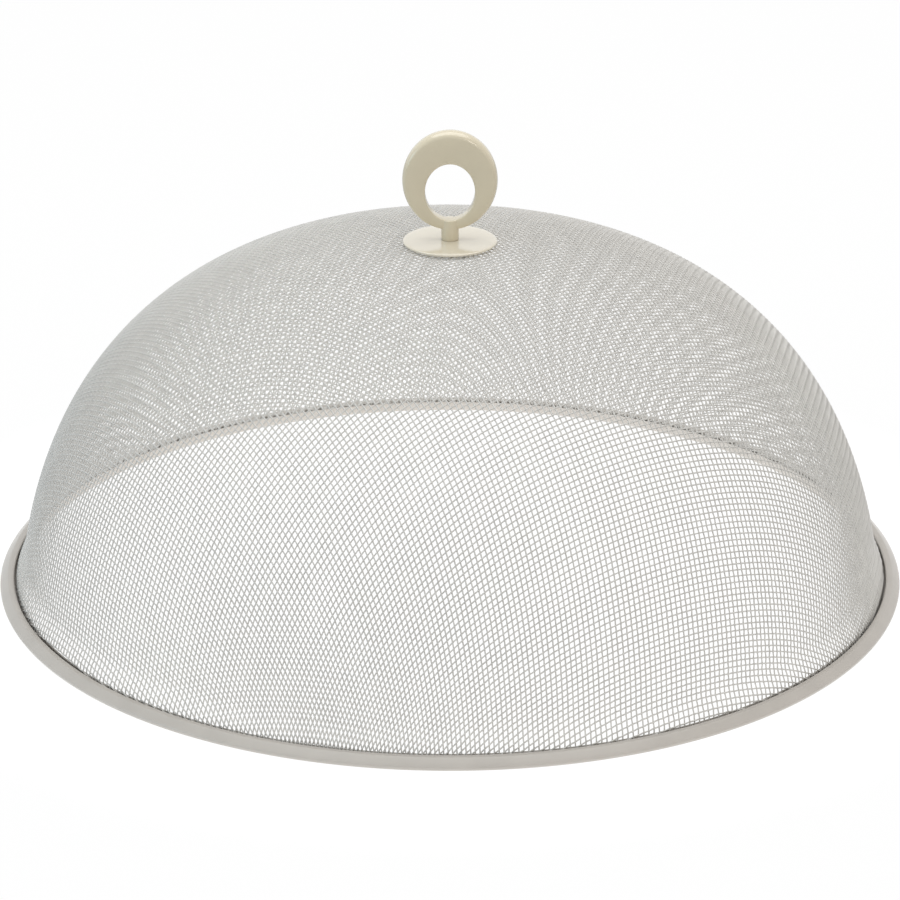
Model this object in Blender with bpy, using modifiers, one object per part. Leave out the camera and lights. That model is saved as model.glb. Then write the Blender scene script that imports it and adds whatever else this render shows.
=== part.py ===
"""A domed metal mesh food cover that stands on a rolled rim and is lifted by a ring on top.

The steel mesh is draped over the dome from its middle, as woven wire drapes: every cell keeps its
four sides, square along the two ways of the weave and sheared into diamonds between them. The foot
of the mesh is clamped in a hem of sheet steel that is rolled round a hoop. The ring is cast in one
with its stem, and a screw from inside holds it, a rosette, the mesh and a washer together.

Lengths are in metres. The origin is the middle of the surface that the cover stands on, +Z is up,
and the ring faces along Y.
"""

import math

import bmesh
import bpy
import numpy as np
from mathutils import Matrix, Vector

MM = 0.001

# Driving dimensions
RIM_DIAMETER = 350 * MM  # over the rolled hem
DOME_HEIGHT = 134.2 * MM  # outside of the mesh at its top, over the table
RING_WIDTH = 36.0 * MM
SEAT_GAP = 0.3 * MM  # between pieces that touch

# Shape of the dome: a superellipse turned about Z, widest below the table
DOME_INSET = 5.7 * MM  # from the rim's outer edge in to the widest ring of the dome's curve
DOME_DROP = 44.9 * MM  # how far below the table that ring would lie
DOME_POWER = 2.53  # 2 would be an ellipse, more has squarer shoulders

# Mesh, drawn with thicker wires further apart than the real weave
WIRE_THICKNESS = 1.2 * MM
WEAVE_PITCH = 17.6 * MM
WEAVE_TURN = math.radians(32)  # from the front towards the right
FOOT_DEPTH = 1.3 * MM  # of the trimmed edge below the top of the hem
FLARE_HEIGHT = 14 * MM  # over the trimmed edge, where the mesh starts to spread out to the hem
SNAP_SHARE = 0.2  # of the pitch: nodes nearer the trim than this are moved onto it
JOIN_SHARE = 0.14  # of the pitch: trimmed wires nearer each other than this meet

# Hem
RIM_HEIGHT = 4.4 * MM
SHEET_THICKNESS = 0.5 * MM
HEM_WIDTH = 7.4 * MM  # from its outer edge to the inside of its inner leg
LEG_HEIGHT = 3.6 * MM
ROLL_RADIUS = 1.5 * MM  # outer top corner, to the middle of the sheet
BASE_RADIUS = 2.0 * MM  # outer bottom corner
LEG_RADIUS = 0.6 * MM  # where the leg turns up
LIP_DIP = 0.3 * MM  # the roll's edge at the slot lies this much lower than its crown
HOOP_DIAMETER = 2.4 * MM
RIM_STEPS = 64
CORNER_STEPS = 2

# Ring and stem: an oval ring with an oval hole, both taller than wide
RING_TALL = 38.8 * MM
RING_THICKNESS = 7.4 * MM  # across its broad top
RING_THIN = 5.0 * MM  # across its narrow foot
FINGER_HOLE_WIDTH = 18.4 * MM
FINGER_HOLE_TALL = 21.5 * MM
FINGER_HOLE_DROP = 4.6 * MM  # of the hole's centre below the ring's centre
SECTION_POWER = 3.6  # 2 would be an elliptic section
STEM_DIAMETER = 6.7 * MM
STEM_LENGTH = 3.6 * MM  # from its seat to the lowest point of the ring
STEM_TOP_DROP = 0.35 * MM  # of the stem's hollowed top below the edge of the finger hole
RING_STEPS = 36
SECTION_STEPS = 14
STEM_STEPS = 24

# Rosette
ROSETTE_DIAMETER = 36 * MM
ROSETTE_THICKNESS = 1.6 * MM
ROSETTE_EDGE = 0.7 * MM  # height of the round at its upper edge
ROSETTE_EDGE_WIDTH = 1.6 * MM
ROSETTE_UNDERCUT = 0.3 * MM
ROSETTE_STEPS = 40

# Fastening
SCREW_DIAMETER = 4.0 * MM
SCREW_LENGTH = 10 * MM  # under the head
SCREW_TIP = 0.6 * MM  # chamfer at its end
HEAD_DIAMETER = 8.0 * MM
HEAD_HEIGHT = 2.6 * MM
HEAD_SIDE = 1.2 * MM  # height of the head's straight side
THREAD_CLEARANCE = 0.25 * MM  # round the screw in the stem
HOLE_CLEARANCE = 0.4 * MM  # round the screw in the rosette and the washers
TIP_CLEARANCE = 1.0 * MM  # past the screw's end in the stem
BACKING_DIAMETER = 26 * MM
BACKING_THICKNESS = 1.0 * MM
LOCK_DIAMETER = 7.4 * MM
LOCK_THICKNESS = 0.9 * MM
LOCK_SPLIT = 0.8 * MM
LOCK_SPLIT_TURN = math.radians(20)  # of the split out of the radial plane
SCREW_STEPS = 20
WASHER_STEPS = 30

CUT_OVERRUN = 1.0 * MM  # how far a cutter runs past what it cuts
MERGE_DISTANCE = 0.01 * MM  # points nearer each other than this become one

# Places that follow from the sizes
RIM_RADIUS = RIM_DIAMETER / 2
LEG_OUTER_RADIUS = RIM_RADIUS - HEM_WIDTH + SHEET_THICKNESS
FOOT_RADIUS = LEG_OUTER_RADIUS + SEAT_GAP + WIRE_THICKNESS / 2
LIP_RADIUS = FOOT_RADIUS + WIRE_THICKNESS / 2 + SEAT_GAP
TRIM_Z = RIM_HEIGHT - FOOT_DEPTH
DOME_REACH = RIM_RADIUS - DOME_INSET - WIRE_THICKNESS / 2
DOME_RISE = DOME_HEIGHT + DOME_DROP - WIRE_THICKNESS / 2
HOLE_RADIUS = SCREW_DIAMETER / 2 + HOLE_CLEARANCE
ROSETTE_Z = DOME_HEIGHT + SEAT_GAP
STEM_Z = ROSETTE_Z + ROSETTE_THICKNESS + SEAT_GAP
RING_HALF = (RING_WIDTH / 2, RING_TALL / 2)
HOLE_HALF = (FINGER_HOLE_WIDTH / 2, FINGER_HOLE_TALL / 2)
FINGER_HOLE_Z = STEM_Z + STEM_LENGTH + RING_TALL / 2 - FINGER_HOLE_DROP
BACKING_Z = DOME_HEIGHT - WIRE_THICKNESS - SEAT_GAP - BACKING_THICKNESS
LOCK_Z = BACKING_Z - SEAT_GAP - LOCK_THICKNESS
HEAD_Z = LOCK_Z - SEAT_GAP
TIP_Z = HEAD_Z + SCREW_LENGTH


def arc(centre, radius, start, end, steps):
    """Points (r, z) along an arc, with its angles in degrees."""
    angles = [math.radians(start + (end - start) * i / steps) for i in range(steps + 1)]
    return [(centre[0] + radius * math.cos(a), centre[1] + radius * math.sin(a)) for a in angles]


def material(name, colour, roughness, metallic):
    made = bpy.data.materials.new(name)
    made.use_nodes = True
    shader = made.node_tree.nodes["Principled BSDF"]
    shader.inputs["Base Color"].default_value = (*colour, 1)
    shader.inputs["Roughness"].default_value = roughness
    shader.inputs["Metallic"].default_value = metallic
    return made


def collection(name):
    made = bpy.data.collections.new(name)
    bpy.context.scene.collection.children.link(made)
    return made


def put_in(obj, home):
    for old in list(obj.users_collection):
        old.objects.unlink(obj)
    home.objects.link(obj)


def as_cutter(obj, home):
    obj.hide_render = True
    obj.display_type = "WIRE"
    put_in(obj, home)
    return obj


def turned(name, profile, steps, closed):
    """The profile, points (r, z) that run down its outer side, turned once about Z."""
    edges = [(i, i + 1) for i in range(len(profile) - 1)]
    if closed:
        edges.append((len(profile) - 1, 0))
    mesh = bpy.data.meshes.new(name)
    mesh.from_pydata([(r, 0, z) for r, z in profile], edges, [])
    obj = bpy.data.objects.new(name, mesh)
    screw = obj.modifiers.new("Turn", "SCREW")
    screw.axis = "Z"
    screw.angle = math.tau
    screw.steps = steps
    screw.render_steps = steps
    screw.use_merge_vertices = True
    screw.merge_threshold = MERGE_DISTANCE
    return obj


def boolean(obj, operation, other):
    cut = obj.modifiers.new(operation.title(), "BOOLEAN")
    cut.operation = operation
    cut.object = other


def finished(obj, home, look, sharp_degrees=35):
    """Applies the modifiers, shades the round faces smooth and puts the piece in its collection."""
    put_in(obj, home)
    bpy.context.view_layer.update()
    graph = bpy.context.evaluated_depsgraph_get()
    mesh = bpy.data.meshes.new_from_object(obj.evaluated_get(graph))
    obj.modifiers.clear()
    mesh.name = obj.name
    obj.data = mesh
    mesh.materials.clear()
    mesh.materials.append(look)
    mesh.shade_smooth()
    mesh.set_sharp_from_angle(angle=math.radians(sharp_degrees))
    return obj


def dome_fault(point):
    """Zero on the middle surface of the mesh, negative inside it."""
    reach = math.hypot(point[0], point[1]) / DOME_REACH
    rise = (point[2] + DOME_DROP) / DOME_RISE
    return reach**DOME_POWER + rise**DOME_POWER - 1


def dome_slope(point):
    """The gradient of dome_fault."""
    radius = math.hypot(point[0], point[1])
    across = DOME_POWER * (radius / DOME_REACH) ** (DOME_POWER - 1) / (DOME_REACH * radius)
    up = DOME_POWER * ((point[2] + DOME_DROP) / DOME_RISE) ** (DOME_POWER - 1) / DOME_RISE
    return np.array([across * point[0], across * point[1], up])


def next_node(guess, one, other):
    """The point of the dome that lies one pitch from each of two nodes. With no other node it lies
    half a pitch from the mirror plane between two quarters of the weave."""
    point = np.array(guess, float)
    for _ in range(12):
        if other is None:
            side_fault, side_slope = point[1] - WEAVE_PITCH / 2, np.array([0.0, 1.0, 0.0])
        else:
            side = point - other
            side_fault, side_slope = side @ side - WEAVE_PITCH**2, 2 * side
        step = point - one
        faults = [step @ step - WEAVE_PITCH**2, side_fault, dome_fault(point)]
        point -= np.linalg.solve([2 * step, side_slope, dome_slope(point)], faults)
    return point


def quarter_nodes():
    """Nodes of one quarter of the weave, keyed by their count of half pitches from the middle."""
    middle = WEAVE_PITCH / 2
    reach = (math.hypot(middle, middle) / DOME_REACH) ** DOME_POWER
    top = DOME_RISE * (1 - reach) ** (1 / DOME_POWER) - DOME_DROP
    nodes = {(1, 1): np.array([middle, middle, top])}
    rows = range(1, 2 * int(DOME_REACH * math.pi / WEAVE_PITCH), 2)
    for across in rows[1:]:
        last = nodes[across - 2, 1]
        if last[2] < TRIM_Z:
            break
        before = nodes.get((across - 4, 1), last - np.array([WEAVE_PITCH, 0, 0]))
        node = next_node(2 * last - before, last, None)
        nodes[across, 1] = node
        nodes[1, across] = node[[1, 0, 2]]
    for along in rows[1:]:
        for across in rows[1:]:
            one = nodes.get((across - 2, along))
            other = nodes.get((across, along - 2))
            corner = nodes.get((across - 2, along - 2))
            if one is None or other is None:
                break
            if max(one[2], other[2], corner[2]) < TRIM_Z:
                break
            nodes[across, along] = next_node(one + other - corner, one, other)
    return nodes


def draped_sheet():
    """The weave as a sheet of four-sided cells, from the top of the dome to below its foot."""
    quarter = quarter_nodes()
    sheet = bmesh.new()
    verts = {}
    for (across, along), node in quarter.items():
        for x_sign in (1, -1):
            for y_sign in (1, -1):
                place = Vector((x_sign * node[0], y_sign * node[1], node[2]))
                verts[x_sign * across, y_sign * along] = sheet.verts.new(place)
    for across, along in list(verts):
        corners = [(across, along), (across + 2, along)]
        corners += [(across + 2, along + 2), (across, along + 2)]
        if all(corner in verts for corner in corners):
            sheet.faces.new([verts[corner] for corner in corners])
    turn = Matrix.Rotation(WEAVE_TURN, 3, "Z")
    bmesh.ops.rotate(sheet, verts=sheet.verts, cent=(0, 0, 0), matrix=turn)
    return sheet


def trim_to_hem(sheet):
    """Spreads the foot of the sheet out to the hem's slot and trims it there."""
    foot = DOME_REACH * (1 - ((TRIM_Z + DOME_DROP) / DOME_RISE) ** DOME_POWER) ** (1 / DOME_POWER)
    for vert in sheet.verts:
        if abs(vert.co.z - TRIM_Z) < SNAP_SHARE * WEAVE_PITCH:
            vert.co.z = TRIM_Z
        share = min(max(1 - (vert.co.z - TRIM_Z) / FLARE_HEIGHT, 0), 1)
        spread = 1 + (FOOT_RADIUS - foot) * share**2 / vert.co.xy.length
        vert.co.xy = vert.co.xy * spread
    bmesh.ops.bisect_plane(
        sheet,
        geom=sheet.verts[:] + sheet.edges[:] + sheet.faces[:],
        dist=MERGE_DISTANCE,
        plane_co=(0, 0, TRIM_Z),
        plane_no=(0, 0, -1),
        clear_outer=True,
    )
    loose = [vert for vert in sheet.verts if not vert.link_faces]
    bmesh.ops.delete(sheet, geom=loose, context="VERTS")
    edge = [vert for vert in sheet.verts if vert.is_boundary]
    bmesh.ops.remove_doubles(sheet, verts=edge, dist=JOIN_SHARE * WEAVE_PITCH)
    for vert in sheet.verts:
        if vert.is_boundary:
            vert.co.xy = vert.co.xy * (FOOT_RADIUS / vert.co.xy.length)
    bmesh.ops.recalc_face_normals(sheet, faces=sheet.faces)


def mesh_dome(parts, look):
    sheet = draped_sheet()
    trim_to_hem(sheet)
    print(f"mesh_dome: {len(sheet.faces)} cells of {WEAVE_PITCH / MM:.1f} mm pitch")
    mesh = bpy.data.meshes.new("mesh_dome")
    sheet.to_mesh(mesh)
    sheet.free()
    obj = bpy.data.objects.new("mesh_dome", mesh)
    wires = obj.modifiers.new("Wires", "WIREFRAME")
    wires.thickness = WIRE_THICKNESS
    wires.offset = 0
    wires.use_even_offset = True
    wires.use_boundary = True
    wires.use_replace = True
    return finished(obj, parts, look)


def rim_band(parts, look):
    """The hem, from the lip at the slot round the roll and under the mesh to the inner leg."""
    half = SHEET_THICKNESS / 2
    outer = RIM_RADIUS - half
    top = RIM_HEIGHT - half
    leg = RIM_RADIUS - HEM_WIDTH + half
    profile = [(LIP_RADIUS, top - LIP_DIP)]
    profile += arc((outer - ROLL_RADIUS, top - ROLL_RADIUS), ROLL_RADIUS, 90, 0, CORNER_STEPS)
    profile += arc((outer - BASE_RADIUS, half + BASE_RADIUS), BASE_RADIUS, 0, -90, CORNER_STEPS)
    profile += arc((leg + LEG_RADIUS, half + LEG_RADIUS), LEG_RADIUS, -90, -180, 1)
    profile += [(leg, LEG_HEIGHT)]
    obj = turned("rim_band", profile, RIM_STEPS, closed=False)
    sheet = obj.modifiers.new("Sheet", "SOLIDIFY")
    sheet.thickness = SHEET_THICKNESS
    sheet.offset = 0
    sheet.use_even_offset = True
    return finished(obj, parts, look)


def rim_hoop(parts, look):
    """The round wire that the hem is rolled over, which stiffens the rim."""
    radius = HOOP_DIAMETER / 2
    middle = (LIP_RADIUS + RIM_RADIUS - SHEET_THICKNESS) / 2
    height = SHEET_THICKNESS + SEAT_GAP + radius
    bpy.ops.mesh.primitive_torus_add(
        major_radius=middle,
        minor_radius=radius,
        major_segments=RIM_STEPS,
        minor_segments=6,
        location=(0, 0, height),
    )
    obj = bpy.context.object
    obj.name = "rim_hoop"
    return finished(obj, parts, look, sharp_degrees=80)


def power(value, exponent):
    return math.copysign(abs(value) ** exponent, value)


def oval_reach(turn, half, lift):
    """How far an oval reaches from a point below its centre by lift. half is (width, height) / 2."""
    across, up = math.cos(turn) / half[0], math.sin(turn) / half[1]
    drop = lift / half[1]
    square = across**2 + up**2
    return (up * drop + math.sqrt(square - (across * drop) ** 2)) / square


def ring_section(turn, round_turn):
    """A point of the ring, (x, y, z) from the centre of the finger hole. turn goes round the hole
    and round_turn round the section, which reaches from the hole to the ring's outer oval."""
    hole = oval_reach(turn, HOLE_HALF, 0)
    half = (oval_reach(turn, RING_HALF, FINGER_HOLE_DROP) - hole) / 2
    broad = (RING_HALF[1] + FINGER_HOLE_DROP - HOLE_HALF[1]) / 2
    narrow = (RING_HALF[1] - FINGER_HOLE_DROP - HOLE_HALF[1]) / 2
    share = (half - narrow) / (broad - narrow)
    depth = (RING_THIN + (RING_THICKNESS - RING_THIN) * share) / 2
    exponent = 2 / SECTION_POWER
    radius = hole + half + half * power(math.cos(round_turn), exponent)
    y = depth * power(math.sin(round_turn), exponent)
    return radius * math.cos(turn), y, radius * math.sin(turn)


def knob_ring(parts, cutters, look):
    """The lifting ring with its low-set finger hole, cast in one with the stem."""
    bpy.ops.mesh.primitive_torus_add(
        major_radius=RING_WIDTH / 2,
        minor_radius=RING_THIN / 2,
        major_segments=RING_STEPS,
        minor_segments=SECTION_STEPS,
    )
    ring = bpy.context.object
    ring.name = "knob_ring"
    for vert in ring.data.vertices:
        turn = math.atan2(vert.co.y, vert.co.x)
        round_turn = math.atan2(vert.co.z, vert.co.xy.length - RING_WIDTH / 2)
        vert.co = ring_section(turn, -round_turn)
    ring.location.z = FINGER_HOLE_Z

    hollow = (HOLE_HALF[0] + STEM_TOP_DROP, HOLE_HALF[1] + STEM_TOP_DROP)
    stem_top = FINGER_HOLE_Z - HOLE_HALF[1] + CUT_OVERRUN
    bpy.ops.mesh.primitive_cylinder_add(
        vertices=STEM_STEPS,
        radius=STEM_DIAMETER / 2,
        depth=stem_top - STEM_Z,
        location=(0, 0, (stem_top + STEM_Z) / 2),
    )
    stem = as_cutter(bpy.context.object, cutters)
    stem.name = "stem"
    bpy.ops.mesh.primitive_cylinder_add(
        vertices=2 * RING_STEPS,
        radius=hollow[0],
        depth=STEM_DIAMETER + 2 * CUT_OVERRUN,
        location=(0, 0, FINGER_HOLE_Z),
        rotation=(math.pi / 2, 0, 0),
    )
    hole = as_cutter(bpy.context.object, cutters)
    hole.name = "finger_hole"
    hole.scale.y = hollow[1] / hollow[0]
    boolean(stem, "DIFFERENCE", hole)

    bore_top = TIP_Z + TIP_CLEARANCE
    bore_bottom = STEM_Z - CUT_OVERRUN
    bpy.ops.mesh.primitive_cylinder_add(
        vertices=SCREW_STEPS,
        radius=SCREW_DIAMETER / 2 + THREAD_CLEARANCE,
        depth=bore_top - bore_bottom,
        location=(0, 0, (bore_top + bore_bottom) / 2),
    )
    bore = as_cutter(bpy.context.object, cutters)
    bore.name = "screw_bore"
    boolean(ring, "UNION", stem)
    boolean(ring, "DIFFERENCE", bore)
    return finished(ring, parts, look)


def knob_rosette(parts, look):
    """The round plate between the stem and the mesh."""
    radius = ROSETTE_DIAMETER / 2
    top = ROSETTE_Z + ROSETTE_THICKNESS
    profile = [(HOLE_RADIUS, top)]
    for step in range(4):
        turn = math.pi / 2 * (1 - step / 3)
        across = radius - ROSETTE_EDGE_WIDTH * (1 - math.cos(turn))
        profile.append((across, top - ROSETTE_EDGE * (1 - math.sin(turn))))
    profile.append((radius, ROSETTE_Z + ROSETTE_UNDERCUT))
    profile.append((radius - ROSETTE_UNDERCUT, ROSETTE_Z))
    profile.append((HOLE_RADIUS, ROSETTE_Z))
    return finished(turned("knob_rosette", profile, ROSETTE_STEPS, closed=True), parts, look)


def washer_profile(outer, bottom, thickness):
    top = bottom + thickness
    return [(HOLE_RADIUS, top), (outer, top), (outer, bottom), (HOLE_RADIUS, bottom)]


def backing_washer(parts, look):
    """The broad washer that holds the mesh up against the rosette."""
    profile = washer_profile(BACKING_DIAMETER / 2, BACKING_Z, BACKING_THICKNESS)
    return finished(turned("backing_washer", profile, WASHER_STEPS, closed=True), parts, look)


def lock_washer(parts, cutters, look):
    """The split spring washer under the screw's head."""
    profile = washer_profile(LOCK_DIAMETER / 2, LOCK_Z, LOCK_THICKNESS)
    obj = turned("lock_washer", profile, SCREW_STEPS, closed=True)
    reach = LOCK_DIAMETER / 2 + CUT_OVERRUN
    bpy.ops.mesh.primitive_cube_add(size=1, location=(0, reach / 2, LOCK_Z + LOCK_THICKNESS / 2))
    split = as_cutter(bpy.context.object, cutters)
    split.name = "lock_split"
    split.scale = (LOCK_SPLIT, reach, LOCK_THICKNESS + 2 * CUT_OVERRUN)
    split.rotation_euler.y = LOCK_SPLIT_TURN
    boolean(obj, "DIFFERENCE", split)
    return finished(obj, parts, look)


def knob_screw(parts, look):
    """The pan-head screw that goes up through the washers, the mesh and the rosette."""
    radius = SCREW_DIAMETER / 2
    head = HEAD_DIAMETER / 2
    profile = [(0, TIP_Z), (radius - SCREW_TIP, TIP_Z), (radius, TIP_Z - SCREW_TIP)]
    profile += [(radius, HEAD_Z), (head, HEAD_Z)]
    crown = HEAD_HEIGHT - HEAD_SIDE
    for step in range(4):
        turn = math.pi / 2 * step / 3
        profile.append((head * math.cos(turn), HEAD_Z - HEAD_SIDE - crown * math.sin(turn)))
    profile[-1] = (0, HEAD_Z - HEAD_HEIGHT)
    return finished(turned("knob_screw", profile, SCREW_STEPS, closed=False), parts, look)


def main():
    for obj in list(bpy.data.objects):
        bpy.data.objects.remove(obj)
    parts = collection("metal_mesh_food_cover")
    cutters = collection("cutters")

    coated_mesh = material("coated_mesh", (0.53, 0.52, 0.48), 0.5, 0.1)
    rim_paint = material("rim_paint", (0.55, 0.53, 0.49), 0.35, 0.1)
    knob_paint = material("knob_paint", (0.57, 0.52, 0.41), 0.25, 0.0)
    zinc = material("zinc", (0.6, 0.6, 0.6), 0.3, 1.0)
    bare_steel = material("bare_steel", (0.45, 0.45, 0.46), 0.4, 1.0)

    made = [
        mesh_dome(parts, coated_mesh),
        rim_band(parts, rim_paint),
        rim_hoop(parts, bare_steel),
        knob_ring(parts, cutters, knob_paint),
        knob_rosette(parts, knob_paint),
        backing_washer(parts, zinc),
        lock_washer(parts, cutters, zinc),
        knob_screw(parts, zinc),
    ]
    for obj in made:
        obj.data.calc_loop_triangles()
        print(f"{obj.name}: {len(obj.data.loop_triangles)} triangles")


main()
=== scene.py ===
# %% [markdown]
# A metal mesh food cover, dressed around its construction model.
# The real object is a dome of woven steel wire. Its foot is clamped in a rolled sheet hem, and a cast
# ring on a rosette lifts it. The construction model gives every piece its size and place, and this
# script gives each piece its looks. Everything here is in metres, with +Z up.

# %% Load the fixed frame
import math

import bmesh
import bpy
import numpy as np
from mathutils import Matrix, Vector


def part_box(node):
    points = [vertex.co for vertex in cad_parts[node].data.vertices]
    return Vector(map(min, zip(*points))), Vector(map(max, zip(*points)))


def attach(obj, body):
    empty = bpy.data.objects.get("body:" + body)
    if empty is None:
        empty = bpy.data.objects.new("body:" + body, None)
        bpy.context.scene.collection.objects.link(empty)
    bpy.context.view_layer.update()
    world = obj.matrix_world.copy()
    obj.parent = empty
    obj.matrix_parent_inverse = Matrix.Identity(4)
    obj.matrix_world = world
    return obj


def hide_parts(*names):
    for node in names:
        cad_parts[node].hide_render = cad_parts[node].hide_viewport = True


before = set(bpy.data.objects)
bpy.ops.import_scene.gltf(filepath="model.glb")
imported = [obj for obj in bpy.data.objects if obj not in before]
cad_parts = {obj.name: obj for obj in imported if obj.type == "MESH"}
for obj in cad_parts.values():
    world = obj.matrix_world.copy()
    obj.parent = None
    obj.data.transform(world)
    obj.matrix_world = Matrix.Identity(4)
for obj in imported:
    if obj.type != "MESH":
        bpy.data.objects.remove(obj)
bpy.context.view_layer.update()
MM = 0.001

# %% [markdown]
# An operator of Blender acts on all that is selected, and the loaded pieces come in selected. So a
# small helper clears the selection, and each later cell calls it before it adds something new.

# %% Helpers for selecting
def clear_selection():
    if bpy.context.object and bpy.context.object.mode != "OBJECT":
        bpy.ops.object.mode_set(mode="OBJECT")
    bpy.ops.object.select_all(action="DESELECT")


def only(piece):
    clear_selection()
    piece.select_set(True)
    bpy.context.view_layer.objects.active = piece


clear_selection()
print("pieces still selected:", len(bpy.context.selected_objects))

# %% [markdown]
# The camera stands where the photograph was taken from: straight in front, about 22 degrees above the
# table, with a long lens, because the far side of the rim is hardly smaller than the near one.
# It is placed first, so that every later look can be compared with the photograph.

# %% The camera
LENS_MM = 147.24
SENSOR_MM = 36.0
CAMERA_DISTANCE = 1419.8 * MM
CAMERA_RISE = math.radians(21.825)
SIGHT_HEIGHT = 60 * MM  # the camera's height and distance are counted from this point of the axis
AIM_HEIGHT = 49.8 * MM  # the point of the axis in the middle of the picture

clear_selection()
bpy.ops.object.camera_add()
camera = bpy.context.object
camera.name = "photo_camera"
camera.data.lens = LENS_MM
camera.data.sensor_width = SENSOR_MM
camera.data.clip_start = 0.05
away = Vector((0, -math.cos(CAMERA_RISE), math.sin(CAMERA_RISE)))
camera.location = Vector((0, 0, SIGHT_HEIGHT)) + CAMERA_DISTANCE * away
sight = Vector((0, 0, AIM_HEIGHT)) - camera.location
camera.rotation_euler = sight.to_track_quat("-Z", "Y").to_euler()
bpy.context.scene.camera = camera
print("camera at", [round(value, 3) for value in camera.location])

# %% [markdown]
# The studio is a light tent over a lit table, as small products are often shot: an even white sky, one
# large softbox overhead, a weak one at each side, and a pale floor that glows a little, most of all
# under the cover. That lights the dome from inside, and its far wall stays pale behind the near one.
# The background of the picture is plain white. So a camera ray that reaches the floor sees nine parts
# of white and one part of the real floor, which is enough for a faint shadow. All other rays get the
# real floor, so that the wires pick up its light.

# %% The floor and its paint
FLOOR_SIZE = 6.0
FLOOR_COLOUR = (0.38, 0.38, 0.38)
FLOOR_ROUGHNESS = 0.8
SPOT_GLOW = 0.9  # of the lit table under the cover
SPOT_RADIUS = 192 * MM
TABLE_GLOW = 0.2  # of the table from TABLE_RADIUS outwards
TABLE_RADIUS = 240 * MM
FLOOR_WHITE = 1.035
FLOOR_WHITE_SHARE = 0.9


def named(name):
    piece = bpy.context.object
    piece.name = name
    piece.data.name = name
    return piece


clear_selection()
bpy.ops.mesh.primitive_plane_add(size=FLOOR_SIZE, location=(0, 0, 0))
floor = named("studio_floor")
floor_paint = bpy.data.materials.new("floor_paint")
floor_paint.use_nodes = True
floor.data.materials.append(floor_paint)
nodes, links = floor_paint.node_tree.nodes, floor_paint.node_tree.links
real_floor = nodes["Principled BSDF"]
real_floor.inputs["Base Color"].default_value = (*FLOOR_COLOUR, 1)
real_floor.inputs["Roughness"].default_value = FLOOR_ROUGHNESS
real_floor.inputs["Emission Color"].default_value = (1, 1, 1, 1)
print("floor, m:", FLOOR_SIZE)

# %% The lit spot of the table
place = nodes.new("ShaderNodeTexCoord")
radius = nodes.new("ShaderNodeVectorMath")
radius.operation = "LENGTH"
fade = nodes.new("ShaderNodeMapRange")
fade.interpolation_type = "SMOOTHSTEP"
fade.inputs["From Min"].default_value = SPOT_RADIUS
fade.inputs["From Max"].default_value = TABLE_RADIUS
fade.inputs["To Min"].default_value = SPOT_GLOW
fade.inputs["To Max"].default_value = TABLE_GLOW
links.new(place.outputs["Object"], radius.inputs[0])
links.new(radius.outputs["Value"], fade.inputs["Value"])
links.new(fade.outputs["Result"], real_floor.inputs["Emission Strength"])
print("lit spot fades between, mm:", round(SPOT_RADIUS / MM), round(TABLE_RADIUS / MM))

# %% The white that the camera sees of the floor
plain_white = nodes.new("ShaderNodeEmission")
plain_white.inputs["Strength"].default_value = FLOOR_WHITE
ray = nodes.new("ShaderNodeLightPath")
share = nodes.new("ShaderNodeMath")
share.operation = "MULTIPLY"
share.inputs[1].default_value = FLOOR_WHITE_SHARE
mix = nodes.new("ShaderNodeMixShader")
links.new(ray.outputs["Is Camera Ray"], share.inputs[0])
links.new(share.outputs[0], mix.inputs["Fac"])
links.new(real_floor.outputs[0], mix.inputs[1])
links.new(plain_white.outputs[0], mix.inputs[2])
links.new(mix.outputs[0], nodes["Material Output"].inputs["Surface"])
print("share of white in a camera ray:", FLOOR_WHITE_SHARE)

# %% [markdown]
# The sky lights the cover at its own strength, but a camera ray sees it as plain white. So does a
# glossy ray, so that enamel and zinc mirror the white background that the picture shows.

# %% The sky
SKY_STRENGTH = 0.57

world = bpy.data.worlds.new("studio_sky")
bpy.context.scene.world = world
world.use_nodes = True
nodes, links = world.node_tree.nodes, world.node_tree.links
soft = nodes["Background"]
soft.inputs["Color"].default_value = (1, 1, 1, 1)
soft.inputs["Strength"].default_value = SKY_STRENGTH
white = nodes.new("ShaderNodeBackground")
white.inputs["Color"].default_value = (1, 1, 1, 1)
white.inputs["Strength"].default_value = 1.0
ray = nodes.new("ShaderNodeLightPath")
seen = nodes.new("ShaderNodeMath")
seen.operation = "MAXIMUM"
mix = nodes.new("ShaderNodeMixShader")
links.new(ray.outputs["Is Camera Ray"], seen.inputs[0])
links.new(ray.outputs["Is Glossy Ray"], seen.inputs[1])
links.new(seen.outputs[0], mix.inputs["Fac"])
links.new(soft.outputs[0], mix.inputs[1])
links.new(white.outputs[0], mix.inputs[2])
links.new(mix.outputs[0], nodes["World Output"].inputs["Surface"])
print("sky strength:", SKY_STRENGTH)

# %% [markdown]
# The overhead softbox hangs a little behind the cover, where it makes the crest of the hem shine. The
# right one is a little warm and the left one is cool, which tints the two sides as in the photograph.

# %% The softboxes
WARM = (1.0, 0.91, 0.8)
COOL = (0.5, 0.8, 1.0)
NEUTRAL = (1, 1, 1)


def softbox(name, place, aim, size, watts, colour):
    clear_selection()
    bpy.ops.object.light_add(type="AREA", location=place)
    lamp = bpy.context.object
    lamp.name = name
    lamp.data.shape = "RECTANGLE"
    lamp.data.size = size[0]
    lamp.data.size_y = size[1]
    lamp.data.energy = watts
    lamp.data.color = colour
    sight = Vector(aim) - Vector(place)
    lamp.rotation_euler = sight.to_track_quat("-Z", "Y").to_euler()
    print(f"{name}: {watts} W")


softbox("overhead_softbox", (0.0, 0.15, 1.8), (0, 0, 0.05), (2.0, 1.6), 21, NEUTRAL)
softbox("right_softbox", (0.9, -1.6, 0.9), (0, 0, 0.16), (0.55, 0.4), 3.5, WARM)
softbox("left_softbox", (-1.4, -0.5, 0.5), (-0.17, 0, 0), (0.8, 0.6), 3, COOL)
bpy.context.scene.view_settings.view_transform = "Standard"

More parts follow.
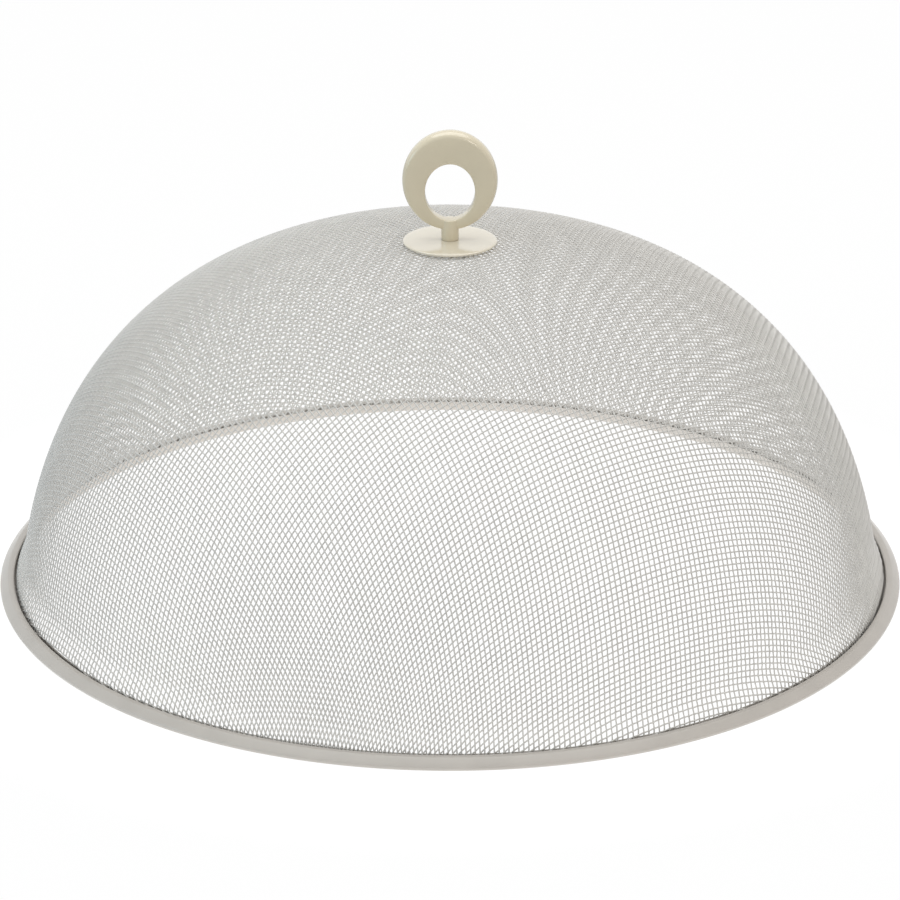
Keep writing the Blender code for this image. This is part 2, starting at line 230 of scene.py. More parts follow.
# %% [markdown]
# The dome's section is a superellipse: an ellipse with a power of about 2.5 in place of 2, so its
# shoulders are squarer. The curve's widest ring lies below the table, and near its foot the mesh
# spreads a little to reach the hem. The rim's and the rosette's boxes in the construction model say
# how wide and how high the dome may be.

# %% The dome's shape
rim_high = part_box("rim_band")[1]
rosette_low, rosette_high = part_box("knob_rosette")
RIM_RADIUS = rim_high.x
RIM_HEIGHT = rim_high.z
ROSETTE_GAP = 0.3 * MM  # between the mesh and the rosette
DOME_HEIGHT = rosette_low.z - ROSETTE_GAP
WIRE = 0.56 * MM
CRIMP = 0.15 * MM  # how far a wire swings off the mesh's middle surface
HALF_MESH = CRIMP + WIRE / 2
DOME_DROP = 44.9 * MM
DOME_POWER = 2.53
DOME_REACH = RIM_RADIUS - 5.7 * MM - HALF_MESH
DOME_RISE = DOME_HEIGHT + DOME_DROP - HALF_MESH
FOOT_Z = 1.6 * MM
FOOT_RADIUS = RIM_RADIUS - 6.35 * MM
FLARE_FULL = 4 * MM  # up to this height the mesh is spread all the way to the hem
FLARE_HEIGHT = 9 * MM  # and over this height above it, it comes back to the curve


def dome_fault(points):
    """Zero on the middle surface of the mesh, negative inside it."""
    reach = np.hypot(points[:, 0], points[:, 1]) / DOME_REACH
    return reach**DOME_POWER + ((points[:, 2] + DOME_DROP) / DOME_RISE) ** DOME_POWER - 1


def dome_slope(points):
    """The direction of steepest rise of that fault, which points straight out of the dome."""
    radius = np.hypot(points[:, 0], points[:, 1])
    across = DOME_POWER * (radius / DOME_REACH) ** (DOME_POWER - 1) / (DOME_REACH * radius)
    up = DOME_POWER * ((points[:, 2] + DOME_DROP) / DOME_RISE) ** (DOME_POWER - 1) / DOME_RISE
    return np.stack([across * points[:, 0], across * points[:, 1], up], axis=1)


print("dome reach and height, mm:", round(DOME_REACH / MM, 1), round(DOME_HEIGHT / MM, 1))

# %% [markdown]
# Woven wire doesn't stretch, it shears: each little cell keeps its four sides while its corners
# open and close. Where the cloth was first pressed, two wires cross and run down the dome without
# turning left or right. On this cover they cross a little off the middle and not quite squarely, as
# cloth that was laid over the mould by hand does. Such a wire is walked crossing by crossing: a step
# straight on, then back onto the dome.

# %% The two straight wires
CROSS_X = 11.07 * MM
CROSS_Y = 7.17 * MM
WARP_HEADING = math.radians(34.85)
WEFT_HEADING = math.radians(120.08)
WARP_PITCH = 2.091 * MM
WEFT_PITCH = 2.162 * MM
WALK = 245 * MM  # longer than any way down the dome
SPARE_CROSSINGS = 3
PRESS_STEPS = 4  # enough to bring a point onto the dome


def onto_dome(point):
    for _ in range(PRESS_STEPS):
        slope = dome_slope(point[None])[0]
        point = point - dome_fault(point[None])[0] * slope / (slope @ slope)
    return point


def along_dome(way, point):
    """The part of a direction that runs along the dome at a point, one long."""
    slope = dome_slope(point[None])[0]
    way = way - slope * (way @ slope) / (slope @ slope)
    return way / np.linalg.norm(way)


def straight_wire(start, heading, pitch, count):
    wire = np.full((count, 3), np.nan)
    wire[0] = start
    way = along_dome(np.array([math.cos(heading), math.sin(heading), 0.0]), start)
    for step in range(1, count):
        ahead = onto_dome(wire[step - 1] + way * pitch) - wire[step - 1]
        wire[step] = onto_dome(wire[step - 1] + ahead * pitch / np.linalg.norm(ahead))
        way = along_dome(wire[step] - wire[step - 1], wire[step])
        if wire[step, 2] < FOOT_Z - 2 * pitch:
            break
    return wire


wire_count = int(WALK / min(WARP_PITCH, WEFT_PITCH)) + SPARE_CROSSINGS
crossing_start = onto_dome(np.array([CROSS_X, CROSS_Y, DOME_HEIGHT]))
print("straight wires cross at, mm:", (crossing_start / MM).round(1))

# %% [markdown]
# Every other crossing lies on the dome, one pitch from each of the two crossings before it, and a few
# steps of Newton's method find it. No modifier does this, so it is done in numbers, one slanting line
# of crossings at a time, for each of the four quarters between the straight wires.

# %% The draped crossings of one quarter
LONGEST_MOVE = 1 * MM
SETTLE_STEPS = 5
TINY = 1e-12  # keeps the equations solvable everywhere
PAST_FOOT = 2 * MM  # the net is solved this far below the foot


def settle(points, one, other):
    """Moves points until each lies on the dome, a pitch from each of its two neighbours."""
    for _ in range(SETTLE_STEPS):
        to_one = points - one
        to_other = points - other
        faults = [
            (to_one**2).sum(axis=1) - WARP_PITCH**2,
            (to_other**2).sum(axis=1) - WEFT_PITCH**2,
            dome_fault(points),
        ]
        slopes = np.stack([2 * to_one, 2 * to_other, dome_slope(points)], axis=1)
        slopes += TINY * np.eye(3)
        move = np.linalg.solve(slopes, np.stack(faults, axis=1)[:, :, None])[:, :, 0]
        points = points - np.clip(move, -LONGEST_MOVE, LONGEST_MOVE)
    return points


def quarter(warp_wire, weft_wire):
    """Crossings [across, along] between two straight wires, with not-a-number past the foot."""
    count = len(warp_wire)
    crossings = np.full((count, count, 3), np.nan)
    crossings[:, 0] = warp_wire
    crossings[0, :] = weft_wire
    for diagonal in range(2, 2 * count - 1):
        across = np.arange(max(1, diagonal - count + 1), min(count, diagonal))
        along = diagonal - across
        one = crossings[across - 1, along]
        other = crossings[across, along - 1]
        corner = crossings[across - 1, along - 1]
        low = np.fmax(np.fmax(one[:, 2], other[:, 2]), corner[:, 2])
        ready = ~np.isnan(one[:, 0] + other[:, 0]) & (low > FOOT_Z - PAST_FOOT)
        if ready.any():
            guess = one + other - corner
            crossings[across[ready], along[ready]] = settle(guess[ready], one[ready], other[ready])
    return crossings


def whole_net():
    """All four quarters in one array, which is walked from one straight wire to the next."""
    walks = [
        straight_wire(crossing_start, heading, pitch, wire_count)
        for heading, pitch in (
            (WARP_HEADING, WARP_PITCH),
            (WEFT_HEADING, WEFT_PITCH),
            (WARP_HEADING + math.pi, WARP_PITCH),
            (WEFT_HEADING + math.pi, WEFT_PITCH),
        )
    ]
    middle = wire_count - 1
    net = np.full((2 * wire_count - 1, 2 * wire_count - 1, 3), np.nan)
    net[middle:, middle:] = quarter(walks[0], walks[1])
    net[: middle + 1, middle:] = quarter(walks[2], walks[1])[::-1]
    net[: middle + 1, : middle + 1] = quarter(walks[2], walks[3])[::-1, ::-1]
    net[middle:, : middle + 1] = quarter(walks[0], walks[3])[:, ::-1]
    return net


net = whole_net()
print("crossings:", int((net[:, :, 2] > FOOT_Z).sum()))

# %% [markdown]
# Near the hem the mesh flares out to the slot. Each crossing also gets the dome's outward direction,
# along which the wires pass over and under each other.

# %% The flare at the foot, and the outward directions
ON_AXIS = 0.01 * MM  # a point nearer to the axis than this has no direction outwards


def spread_to_hem(net):
    """Moves the lowest crossings outwards, so that the mesh meets the hem's slot."""
    foot = DOME_REACH * (1 - ((FOOT_Z + DOME_DROP) / DOME_RISE) ** DOME_POWER) ** (1 / DOME_POWER)
    share = np.clip(1 - (net[:, :, 2] - FLARE_FULL) / FLARE_HEIGHT, 0, 1)
    radius = np.hypot(net[:, :, 0], net[:, :, 1])
    spread = 1 + (FOOT_RADIUS - foot) * share * share * (3 - 2 * share) / np.maximum(radius, MM)
    net[:, :, 0] *= spread
    net[:, :, 1] *= spread


def outward(net):
    flat = net.reshape(-1, 3)
    on_axis = np.hypot(flat[:, :1], flat[:, 1:2]) < ON_AXIS
    slope = dome_slope(np.where(on_axis, [[MM, 0, DOME_HEIGHT]], flat))
    slope /= np.linalg.norm(slope, axis=1, keepdims=True)
    return slope.reshape(net.shape)


normals = outward(net)
spread_to_hem(net)
print("foot of the mesh, mm:", round(FOOT_RADIUS / MM, 2))

# %% [markdown]
# Each wire is a curve through its crossings with a round bevel, which is how a wire is drawn by
# hand. It goes over one wire and under the next. The coat fills the corners between crossing wires,
# so the swing is less than half a wire. Tens of thousands of short stretches add up, so the wires are
# six-sided tubes shaded smooth, shared out over several pieces to keep each mesh small.

# %% Wires through the crossings
PIERCED_RADIUS = 2.6 * MM  # of the screw's hole in the mesh


def wire_points(row, row_normals, index, start):
    """The points of one wire, from one end in the hem to the other."""
    inside = np.nonzero(row[:, 2] > FOOT_Z)[0]
    if len(inside) < 2:
        return []
    first, last = inside[0], inside[-1]
    side = 1 - 2 * ((np.arange(len(row)) + index + start) % 2)
    points = row + CRIMP * side[:, None] * row_normals
    picked = [points[step] for step in range(first, last + 1)]
    for end, beyond in ((first, first - 1), (last, last + 1)):
        if 0 <= beyond < len(row) and not np.isnan(row[beyond, 0]):
            part = (row[end, 2] - FOOT_Z) / (row[end, 2] - row[beyond, 2])
            tip = row[end] + part * (row[beyond] - row[end])
            if end == first:
                picked.insert(0, tip)
            else:
                picked.append(tip)
    return picked


def strands(picked):
    """Splits a wire where the screw's hole pierces the mesh."""
    runs, run = [], []
    for point in picked:
        if math.hypot(point[0], point[1]) < PIERCED_RADIUS:
            runs.append(run)
            run = []
        else:
            run.append(point)
    runs.append(run)
    return [run for run in runs if len(run) > 1]


def wire_piece(name, rows):
    """One piece made of many wires. rows holds (crossings, outward directions, index, start)."""
    clear_selection()
    curve = bpy.data.curves.new(name, "CURVE")
    curve.dimensions = "3D"
    curve.bevel_depth = WIRE / 2
    curve.bevel_resolution = 1
    curve.use_fill_caps = True
    for row in rows:
        for run in strands(wire_points(*row)):
            spline = curve.splines.new("POLY")
            spline.points.add(len(run) - 1)
            flat = [value for point in run for value in (*point, 1)]
            spline.points.foreach_set("co", flat)
            spline.use_smooth = True
    piece = bpy.data.objects.new(name, curve)
    bpy.context.scene.collection.objects.link(piece)
    only(piece)
    bpy.ops.object.convert(target="MESH")
    return bpy.context.object


print("wire and its swing, mm:", round(WIRE / MM, 2), round(CRIMP / MM, 2))

# %% [markdown]
# Nearly all the finishes are coats on metal: powder coat on the wires and the hem, enamel on the ring
# and its rosette, zinc on the fastening. A coat is never quite even. One soft noise clouds its colour
# and its gloss, and a finer one gives the faint orange peel, both on Object coordinates.

# %% A helper for coated finishes
CLOUD_DETAIL = 4
DARK_CLOUD = 0.3  # value of the noise at which the tint is darkest
LIGHT_CLOUD = 0.7
GLOSS_SPREAD = 0.15
PEEL_FINER = 4  # how much finer the orange peel is than the clouds
PEEL_DETAIL = 2
PEEL_STRENGTH = 0.25
CLEAR_ROUGHNESS = 0.16  # of the clear layer over the enamel


def coat(name, colour, roughness, spread, grain, peel_height=0.02 * MM, metallic=0.0, clear=0.0):
    """A coat whose colour and gloss vary by a noise with the given grain in metres."""
    look = bpy.data.materials.new(name)
    look.use_nodes = True
    nodes, links = look.node_tree.nodes, look.node_tree.links
    shader = nodes["Principled BSDF"]
    shader.inputs["Metallic"].default_value = metallic
    shader.inputs["Coat Weight"].default_value = clear
    shader.inputs["Coat Roughness"].default_value = CLEAR_ROUGHNESS
    place = nodes.new("ShaderNodeTexCoord")
    cloud = nodes.new("ShaderNodeTexNoise")
    cloud.inputs["Scale"].default_value = 1 / grain
    cloud.inputs["Detail"].default_value = CLOUD_DETAIL
    tint = nodes.new("ShaderNodeValToRGB")
    darkest, lightest = tint.color_ramp.elements
    darkest.position = DARK_CLOUD
    lightest.position = LIGHT_CLOUD
    darkest.color = (*[value * (1 - spread) for value in colour], 1)
    lightest.color = (*[min(value * (1 + spread), 1) for value in colour], 1)
    gloss = nodes.new("ShaderNodeMapRange")
    gloss.inputs["To Min"].default_value = roughness * (1 - GLOSS_SPREAD)
    gloss.inputs["To Max"].default_value = roughness * (1 + GLOSS_SPREAD)
    peel = nodes.new("ShaderNodeTexNoise")
    peel.inputs["Scale"].default_value = PEEL_FINER / grain
    peel.inputs["Detail"].default_value = PEEL_DETAIL
    relief = nodes.new("ShaderNodeBump")
    relief.inputs["Strength"].default_value = PEEL_STRENGTH
    relief.inputs["Distance"].default_value = peel_height
    links.new(place.outputs["Object"], cloud.inputs["Vector"])
    links.new(place.outputs["Object"], peel.inputs["Vector"])
    links.new(cloud.outputs["Fac"], tint.inputs["Fac"])
    links.new(tint.outputs["Color"], shader.inputs["Base Color"])
    links.new(cloud.outputs["Fac"], gloss.inputs["Value"])
    links.new(gloss.outputs["Result"], shader.inputs["Roughness"])
    links.new(peel.outputs["Fac"], relief.inputs["Height"])
    links.new(relief.outputs["Normal"], shader.inputs["Normal"])
    return look


print("gloss varies by, either way:", GLOSS_SPREAD)

# %% [markdown]
# The powder coat on wires and hem is satin. In the photograph the short leg inside the hem looks
# paler, so it gets a paler copy of the hem's coat: painted light, which stands in for the light that
# the leg lacks in its shaded place inside the dome. The enamel of ring and rosette is smooth under a
# clear layer, and the fastening is zinc. The hoop in the hem is bare drawn wire, whose faint mottling
# the same helper makes.

# %% The finishes
wire_coat = coat("wire_coat", (0.6, 0.588, 0.56), roughness=0.4, spread=0.05, grain=6 * MM)
rim_coat = coat("rim_coat", (0.453, 0.425, 0.388), roughness=0.32, spread=0.03, grain=9 * MM)
# A paler copy of the hem's coat: painted light on the leg, which lies in shade inside the dome.
painted_light_leg_coat = coat("painted_light_leg_coat", (0.77, 0.725, 0.675), roughness=0.4, spread=0.03, grain=9 * MM)
ring_enamel = coat(
    "ring_enamel", (0.68, 0.61, 0.452), roughness=0.2, spread=0.02, grain=12 * MM,
    peel_height=0.03 * MM, clear=0.7,
)
rosette_enamel = coat(
    "rosette_enamel", (0.69, 0.635, 0.512), roughness=0.15, spread=0.02, grain=12 * MM, clear=1.0
)
zinc_plate = coat(
    "zinc_plate", (0.7, 0.71, 0.72), roughness=0.32, spread=0.08, grain=1.5 * MM, metallic=1.0
)
drawn_steel = coat(
    "drawn_steel", (0.5, 0.5, 0.51), roughness=0.38, spread=0.1, grain=2 * MM, metallic=1.0
)
finishes = (wire_coat, rim_coat, painted_light_leg_coat, ring_enamel, rosette_enamel, zinc_plate, drawn_steel)
print("finishes:", [finish.name for finish in finishes])

# %% [markdown]
# Both ways of the weave are shared out over four pieces each, so that no mesh gets too large.

# %% Weave the mesh
SHARES = 4


def dress(piece, look, slot, *nodes):
    """Gives a finished piece its material, its body and the nodes that it stands for."""
    piece.data.materials.clear()
    piece.data.materials.append(look)
    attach(piece, "root")
    if nodes:
        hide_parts(*nodes)
    piece.data.calc_loop_triangles()
    print(f"{piece.name}: {len(piece.data.loop_triangles)} triangles")


for way, name in enumerate(("warp", "weft")):
    rows = net.transpose(1, 0, 2) if way == 0 else net
    row_normals = normals.transpose(1, 0, 2) if way == 0 else normals
    counts = np.cumsum((rows[:, :, 2] > FOOT_Z).sum(axis=1))
    share_of = np.minimum(counts * SHARES // (counts[-1] + 1), SHARES - 1)
    for part in range(SHARES):
        picked = [(rows[i], row_normals[i], i, way) for i in range(len(rows)) if share_of[i] == part]
        piece = wire_piece(f"{name}_wires_{part + 1}", picked)
        dress(piece, wire_coat, "coated_mesh", "mesh_dome")

# %% [markdown]
# Rim, rosette and screw are round pieces. On a lathe or by spinning, such a piece is one section
# turned about the axis. The same thing by hand is a circle that is extruded, scaled and lifted from
# one point of the section to the next, and that way keeps every ring of edges where it is wanted.

# %% A helper for turned pieces
MERGE = 0.001 * MM


def apply_place(piece):
    only(piece)
    bpy.ops.object.transform_apply(location=True, rotation=True, scale=True)


def extrude_loop(grow, shift, middle):
    """Extrudes the selected loop, scales it about a point and shifts it."""
    bpy.ops.mesh.extrude_region_move()
    bpy.ops.transform.resize(value=grow, center_override=middle)
    bpy.ops.transform.translate(value=shift)


def turned(name, section, sides):
    """A circle extruded through a section of points (radius, height), merged where it closes."""
    clear_selection()
    radius, height = section[0]
    bpy.ops.mesh.primitive_circle_add(vertices=sides, radius=radius, location=(0, 0, height))
    piece = named(name)
    bpy.ops.object.mode_set(mode="EDIT")
    bpy.ops.mesh.select_all(action="SELECT")
    for (old, low), (new, high) in zip(section, section[1:]):
        extrude_loop((new / old, new / old, 1), (0, 0, high - low), (0, 0, low))
    bpy.ops.mesh.select_all(action="SELECT")
    bpy.ops.mesh.remove_doubles(threshold=MERGE)
    bpy.ops.mesh.normals_make_consistent(inside=False)
    apply_place(piece)
    return piece


def bend(middle, radius, start, end, steps):
    """Points round a bend of the section, from one angle to another."""
    turns = np.radians(np.linspace(start, end, steps + 1))
    return [(middle[0] + radius * math.cos(turn), middle[1] + radius * math.sin(turn)) for turn in turns]


print("points nearer than this are merged, mm:", MERGE / MM)

# %% [markdown]
# The hem is a strip of half-millimetre sheet. It starts as a lip that closes the slot outside the
# mesh, rolls over the top, runs down and under, and ends in a short leg inside the mesh. Only its
# outer side is drawn, and Solidify gives the sheet its thickness inwards. The leg's faces then get a
# paler copy of the hem's coat, which is painted light for the shade they lie in inside the dome.

# %% The rolled rim
SHEET = 0.5 * MM
LIP_RADIUS = RIM_RADIUS - 5.45 * MM
LIP_DIP = 1.0 * MM  # how far the lip rolls down beside the mesh
CROWN_RADIUS = RIM_RADIUS - 3.2 * MM  # where the hem starts to slope
BASE_BEND = 1.75 * MM
LEG_BEND = 0.6 * MM
LEG_RADIUS = RIM_RADIUS - 7.4 * MM
LEG_HEIGHT = 3.75 * MM
LEG_LEAN = 0.35 * MM  # of its upper edge towards the mesh
RIM_SIDES = 288
SHARP = 40  # degrees, past which an edge is left sharp


def smooth(piece, degrees):
    only(piece)
    bpy.ops.object.shade_smooth_by_angle(angle=math.radians(degrees))


def apply_modifiers(piece):
    only(piece)
    for modifier in list(piece.modifiers):
        bpy.ops.object.modifier_apply(modifier=modifier.name)


rim_section = [
    (LIP_RADIUS, RIM_HEIGHT - LIP_DIP),
    (LIP_RADIUS + 0.03 * MM, RIM_HEIGHT - 0.6 * LIP_DIP),
    (LIP_RADIUS + 0.15 * MM, RIM_HEIGHT - 0.35 * LIP_DIP),
    (LIP_RADIUS + 0.4 * MM, RIM_HEIGHT - 0.16 * LIP_DIP),
    (LIP_RADIUS + 0.85 * MM, RIM_HEIGHT - 0.05 * LIP_DIP),
    (CROWN_RADIUS, RIM_HEIGHT),
    (CROWN_RADIUS + 0.2 * MM, RIM_HEIGHT - 0.04 * MM),
    (CROWN_RADIUS + 0.42 * MM, RIM_HEIGHT - 0.16 * MM),
    (CROWN_RADIUS + 0.7 * MM, RIM_HEIGHT - 0.34 * MM),
    (RIM_RADIUS - 0.7 * MM, BASE_BEND + 0.8 * MM),
    (RIM_RADIUS - 0.32 * MM, BASE_BEND + 0.45 * MM),
    (RIM_RADIUS - 0.09 * MM, BASE_BEND + 0.2 * MM),
]
rim_section += bend((RIM_RADIUS - BASE_BEND, BASE_BEND), BASE_BEND, 0, -90, 10)
rim_section += bend((LEG_RADIUS + LEG_BEND, LEG_BEND), LEG_BEND, -90, -180, 5)
rim_section += [(LEG_RADIUS, 0.5 * LEG_HEIGHT), (LEG_RADIUS + LEG_LEAN, LEG_HEIGHT)]
rim = turned("rolled_rim", rim_section, RIM_SIDES)
wall = rim.modifiers.new("sheet", "SOLIDIFY")
wall.thickness = SHEET
wall.offset = -1
wall.use_even_offset = True
apply_modifiers(rim)
smooth(rim, SHARP)
dress(rim, rim_coat, "rim_paint", "rim_band")
# The leg's faces get the paler copy of the coat, painted light that stands in for the light they lack.
rim.data.materials.append(painted_light_leg_coat)
for face in rim.data.polygons:
    on_leg = face.center.xy.length < LEG_RADIUS + LEG_LEAN and face.center.z > LEG_BEND / 2
    face.material_index = int(on_leg)

# %% [markdown]
# The rosette is a round plate with a rounded upper edge and a faintly domed top, enamelled like the
# ring. Its lower edge is undercut, which leaves a thin line of shadow over the mesh. The screw goes
# up through a hole in the middle.

# %% The rosette
ROSETTE_RADIUS = rosette_high.x
ROSETTE_SIDES = 128
SCREW_HOLE = 2.2 * MM
STEM_SEAT = 0.15 * MM  # the plate's top lies this much below its box, and the stem stands on it
plate_top = rosette_high.z - STEM_SEAT
rosette_section = [
    (SCREW_HOLE, rosette_low.z),
    (ROSETTE_RADIUS - 1.3 * MM, rosette_low.z),
    (ROSETTE_RADIUS - 0.5 * MM, rosette_low.z + 0.25 * MM),
    (ROSETTE_RADIUS - 0.25 * MM, rosette_low.z + 0.42 * MM),
    (ROSETTE_RADIUS - 0.15 * MM, rosette_low.z + 0.6 * MM),
    (ROSETTE_RADIUS - 0.15 * MM, rosette_low.z + 0.85 * MM),
    (ROSETTE_RADIUS - 0.25 * MM, rosette_low.z + 1.05 * MM),
    (ROSETTE_RADIUS - 0.5 * MM, rosette_low.z + 1.2 * MM),
    (ROSETTE_RADIUS - 0.9 * MM, rosette_low.z + 1.29 * MM),
    (ROSETTE_RADIUS - 1.6 * MM, plate_top - 0.1 * MM),
    (ROSETTE_RADIUS - 4.5 * MM, plate_top - 0.07 * MM),
    (ROSETTE_RADIUS - 8.5 * MM, plate_top - 0.03 * MM),
    (SCREW_HOLE + 1.4 * MM, plate_top),
    (SCREW_HOLE, plate_top),
    (SCREW_HOLE, rosette_low.z),
]
rosette = turned("rosette_plate", rosette_section, ROSETTE_SIDES)
smooth(rosette, SHARP)
dress(rosette, rosette_enamel, "rosette_paint", "knob_rosette")

# %% [markdown]
# The knob is a cast ring whose finger hole sits low, so the ring is broad at the top and narrow at
# the foot. It is drawn as one loop that starts as the outline, an upright oval, and shrinks step by
# step into the hole: over the front face, through the hole and back over the rear face. Simple
# Deform then tapers its thickness towards the foot, and the stem is joined on with a Boolean.

# %% The ring's sizes
ring_low, ring_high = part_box("knob_ring")
RING_SIDES = 144
RING_WIDTH = ring_high.x - ring_low.x
RING_FOOT = rosette_high.z + 3.9 * MM
RING_TALL = ring_high.z - RING_FOOT
HOLE_WIDTH = 18.8 * MM
HOLE_TALL = 22.1 * MM
HOLE_DROP = 4.35 * MM
RING_THICK = 6.2 * MM  # halfway up, before the taper
RING_TAPER = 0.387
OUTER_EDGE = 2.8 * MM  # radius of the soft edge round the outline
OUTER_EDGE_SHARE = 0.18  # of the way from the outline to the hole that this edge takes
HOLE_EDGE = 0.9 * MM
HOLE_EDGE_SHARE = 0.09
CROWNING = 0.2 * MM  # of the faces, which aren't quite flat
EDGE_STEPS = 6
FACE_STEPS = 6

ring_middle = RING_FOOT + RING_TALL / 2
outline = (RING_WIDTH / 2, RING_TALL / 2, 0.0)
hole = (HOLE_WIDTH / 2, HOLE_TALL / 2, -HOLE_DROP)
print("ring and hole, mm:", [round(2 * side / MM, 1) for side in (*outline[:2], *hole[:2])])

# %% [markdown]
# Each loop is a share of the way from the outline to the hole, at some depth. The soft edges are
# quarter turns, and the face between them is crowned by a hair, so that it catches the light.

# %% The loops over the ring's surface
def front_half():
    """(share of the way inwards, depth) over the front: outer edge, face, edge of the hole."""
    flat = RING_THICK / 2 - CROWNING
    path = []
    for step in range(EDGE_STEPS + 1):
        turn = math.pi / 2 * step / EDGE_STEPS
        path.append((OUTER_EDGE_SHARE * (1 - math.cos(turn)), flat - OUTER_EDGE * (1 - math.sin(turn))))
    for step in range(1, FACE_STEPS):
        way = step / FACE_STEPS
        share = OUTER_EDGE_SHARE + way * (1 - OUTER_EDGE_SHARE - HOLE_EDGE_SHARE)
        path.append((share, flat + CROWNING * 4 * way * (1 - way)))
    for step in range(EDGE_STEPS + 1):
        turn = math.pi / 2 * (1 - step / EDGE_STEPS)
        path.append((1 - HOLE_EDGE_SHARE * (1 - math.cos(turn)), flat - HOLE_EDGE * (1 - math.sin(turn))))
    return path


def ring_loops():
    """(half width, half height, rise, depth) of each loop, from the outline round to it again."""
    front = front_half()
    path = [(share, -depth) for share, depth in front]
    path += [(share, depth) for share, depth in reversed(front)]
    path.append(path[0])
    loops = []
    for share, depth in path:
        size = [start + share * (end - start) for start, end in zip(outline, hole)]
        loops.append((*size, depth))
    return loops


loops = ring_loops()
print("loops:", len(loops))

# %% [markdown]
# The oval is a circle that is stretched to the outline in edit mode, and then extruded from loop to
# loop. The last loop lies on the first, so merging doubles closes the ring.

# %% The ring
clear_selection()
bpy.ops.mesh.primitive_circle_add(vertices=RING_SIDES, radius=1, rotation=(math.pi / 2, 0, 0))
ring = named("ring_knob")
apply_place(ring)
bpy.ops.object.mode_set(mode="EDIT")
bpy.ops.mesh.select_all(action="SELECT")
bpy.ops.transform.resize(value=(outline[0], 1, outline[1]), center_override=(0, 0, 0))
for old, new in zip(loops, loops[1:]):
    grow = (new[0] / old[0], 1, new[1] / old[1])
    extrude_loop(grow, (0, new[3] - old[3], new[2] - old[2]), (0, old[3], old[2]))
bpy.ops.mesh.select_all(action="SELECT")
bpy.ops.mesh.remove_doubles(threshold=MERGE)
bpy.ops.mesh.normals_make_consistent(inside=False)
bpy.ops.object.mode_set(mode="OBJECT")
thin_foot = ring.modifiers.new("thin_foot", "SIMPLE_DEFORM")
thin_foot.deform_method = "TAPER"
thin_foot.deform_axis = "Z"
thin_foot.factor = RING_TAPER
thin_foot.lock_x = True
apply_modifiers(ring)
ring.location.z = ring_middle
apply_place(ring)
print("ring, mm:", [round(side / MM, 2) for side in ring.dimensions])

# %% [markdown]
# The stem is a round pin that runs from the rosette up through the thin foot of the ring to the
# finger hole, a little proud of the ring's faces, and it is drilled from below for the screw.

# %% The stem
STEM_RADIUS = 3.35 * MM
STEM_EDGE = 0.25 * MM
STEM_GAP = 0.02 * MM  # over the rosette, so that no faces lie in one plane
STEM_PROUD = 0.05 * MM  # into the finger hole
STEM_BORE = 2.15 * MM
BORE_DEPTH = 5.0 * MM
BORE_RUN_IN = 1 * MM  # the cutter starts this far below the stem
PIN_SIDES = 64


def pin(name, radius, low, high):
    clear_selection()
    middle = (0, 0, (low + high) / 2)
    bpy.ops.mesh.primitive_cylinder_add(
        vertices=PIN_SIDES, radius=radius, depth=high - low, location=middle
    )
    piece = named(name)
    apply_place(piece)
    return piece


def combine(piece, other, way):
    """Joins or cuts a piece with another by a Boolean, and removes the other."""
    cut = piece.modifiers.new(way.lower(), "BOOLEAN")
    cut.operation = way
    cut.solver = "EXACT"
    cut.object = other
    apply_modifiers(piece)
    bpy.data.objects.remove(other)


stem_top = ring_middle - HOLE_DROP - HOLE_TALL / 2 + STEM_PROUD
stem = pin("stem", STEM_RADIUS, plate_top + STEM_GAP, stem_top)
edges = stem.modifiers.new("edges", "BEVEL")
edges.width = STEM_EDGE
edges.segments = 3
edges.limit_method = "ANGLE"
apply_modifiers(stem)
combine(ring, stem, "UNION")
bore = pin("bore", STEM_BORE, rosette_high.z - BORE_RUN_IN, rosette_high.z + BORE_DEPTH)
combine(ring, bore, "DIFFERENCE")
smooth(ring, SHARP)
dress(ring, ring_enamel, "knob_paint", "knob_ring")

# %% [markdown]
# The screw is a zinc-plated pan head, seen only from inside the dome. Its head is turned, and a cross
# recess is cut with two crossed wedges, each a cube narrowed at its deep end.

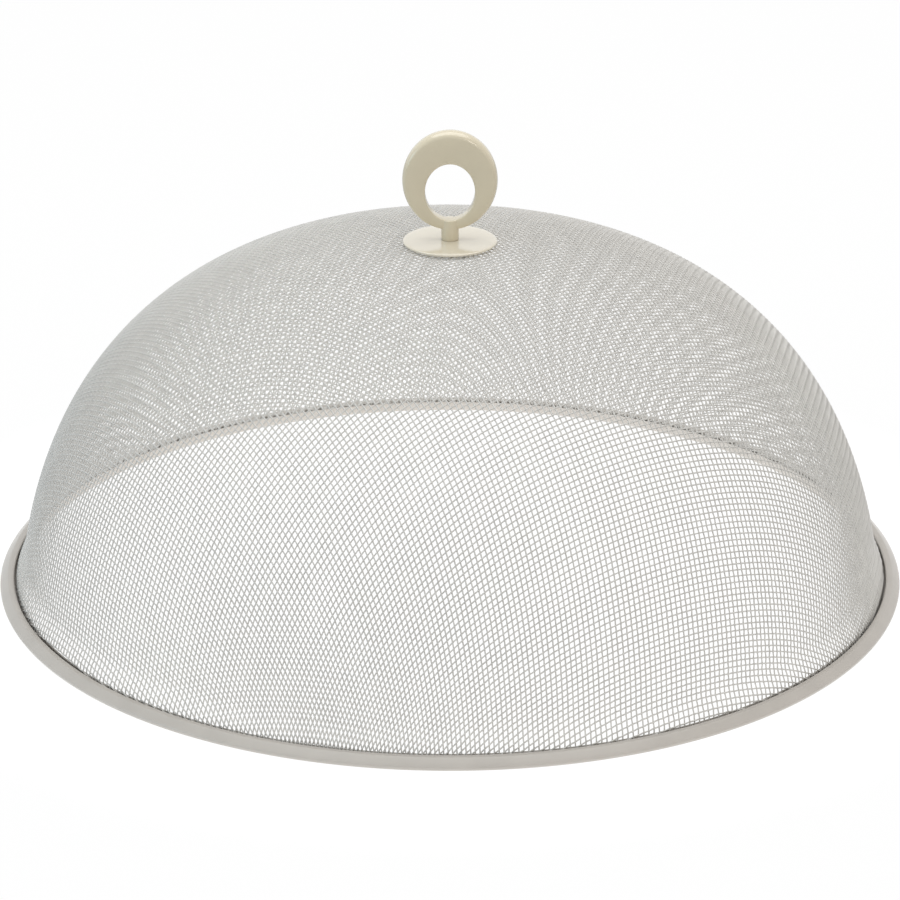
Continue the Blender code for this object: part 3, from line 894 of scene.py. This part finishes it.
# %% The screw
screw_low, screw_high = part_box("knob_screw")
HEAD_RADIUS = screw_high.x
HEAD_HEIGHT = 2.6 * MM
SHANK_RADIUS = 1.95 * MM
RECESS_LONG = 4.4 * MM
RECESS_WIDE = 1.05 * MM
RECESS_DEEP = 1.6 * MM
RECESS_TURN = 0.3  # radians, how far the cross happens to be turned
RECESS_TIP = 0.45  # of its size, at the deep end
SCREW_SIDES = 64
SCREW_SHARP = 35
NEAR = 0.01 * MM
head_face = screw_low.z
seat = head_face + HEAD_HEIGHT
tip = screw_high.z
screw_section = [
    (0.4 * MM, head_face),
    (1.6 * MM, head_face + 0.03 * MM),
    (2.7 * MM, head_face + 0.16 * MM),
    (3.3 * MM, head_face + 0.4 * MM),
    (3.7 * MM, head_face + 0.8 * MM),
    (3.93 * MM, head_face + 1.3 * MM),
    (HEAD_RADIUS, seat - 0.5 * MM),
    (HEAD_RADIUS - 0.05 * MM, seat - 0.1 * MM),
    (HEAD_RADIUS - 0.2 * MM, seat),
    (SHANK_RADIUS + 0.15 * MM, seat),
    (SHANK_RADIUS, seat + 0.15 * MM),
    (SHANK_RADIUS, tip - 0.5 * MM),
    (SHANK_RADIUS - 0.5 * MM, tip),
]


def pick(piece, passes):
    """In edit mode, selects just the vertices whose place passes a test."""
    bpy.ops.mesh.select_mode(type="VERT")
    bpy.ops.mesh.select_all(action="DESELECT")
    mesh = bmesh.from_edit_mesh(piece.data)
    for vertex in mesh.verts:
        vertex.select = bool(passes(piece.matrix_world @ vertex.co))
    mesh.select_flush_mode()
    bmesh.update_edit_mesh(piece.data)


screw = turned("pan_screw", screw_section, SCREW_SIDES)
bpy.ops.object.mode_set(mode="EDIT")
for end in (head_face, tip):
    pick(screw, lambda place: abs(place.z - end) < NEAR)
    bpy.ops.mesh.edge_face_add()
bpy.ops.mesh.select_all(action="SELECT")
bpy.ops.mesh.normals_make_consistent(inside=False)
bpy.ops.object.mode_set(mode="OBJECT")
for turn in (RECESS_TURN, RECESS_TURN + math.pi / 2):
    clear_selection()
    bpy.ops.mesh.primitive_cube_add(size=1, location=(0, 0, head_face), rotation=(0, 0, turn))
    wedge = named("recess_wedge")
    wedge.scale = (RECESS_LONG, RECESS_WIDE, 2 * RECESS_DEEP)
    apply_place(wedge)
    bpy.ops.object.mode_set(mode="EDIT")
    pick(wedge, lambda place: place.z > head_face)
    bpy.ops.transform.resize(value=(RECESS_TIP, RECESS_TIP, 1), center_override=(0, 0, head_face))
    combine(screw, wedge, "DIFFERENCE")
smooth(screw, SCREW_SHARP)
dress(screw, zinc_plate, "zinc", "knob_screw")

# %% [markdown]
# The wire hoop in the hem and the two washers have their right shape in the construction model
# already. They stay, and only get their finishes.

# %% Finishes of the carried-over pieces
for name, look in (("rim_hoop", drawn_steel), ("backing_washer", zinc_plate), ("lock_washer", zinc_plate)):
    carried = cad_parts[name]
    carried.data.materials.clear()
    carried.data.materials.append(look)
    print("finished", name)
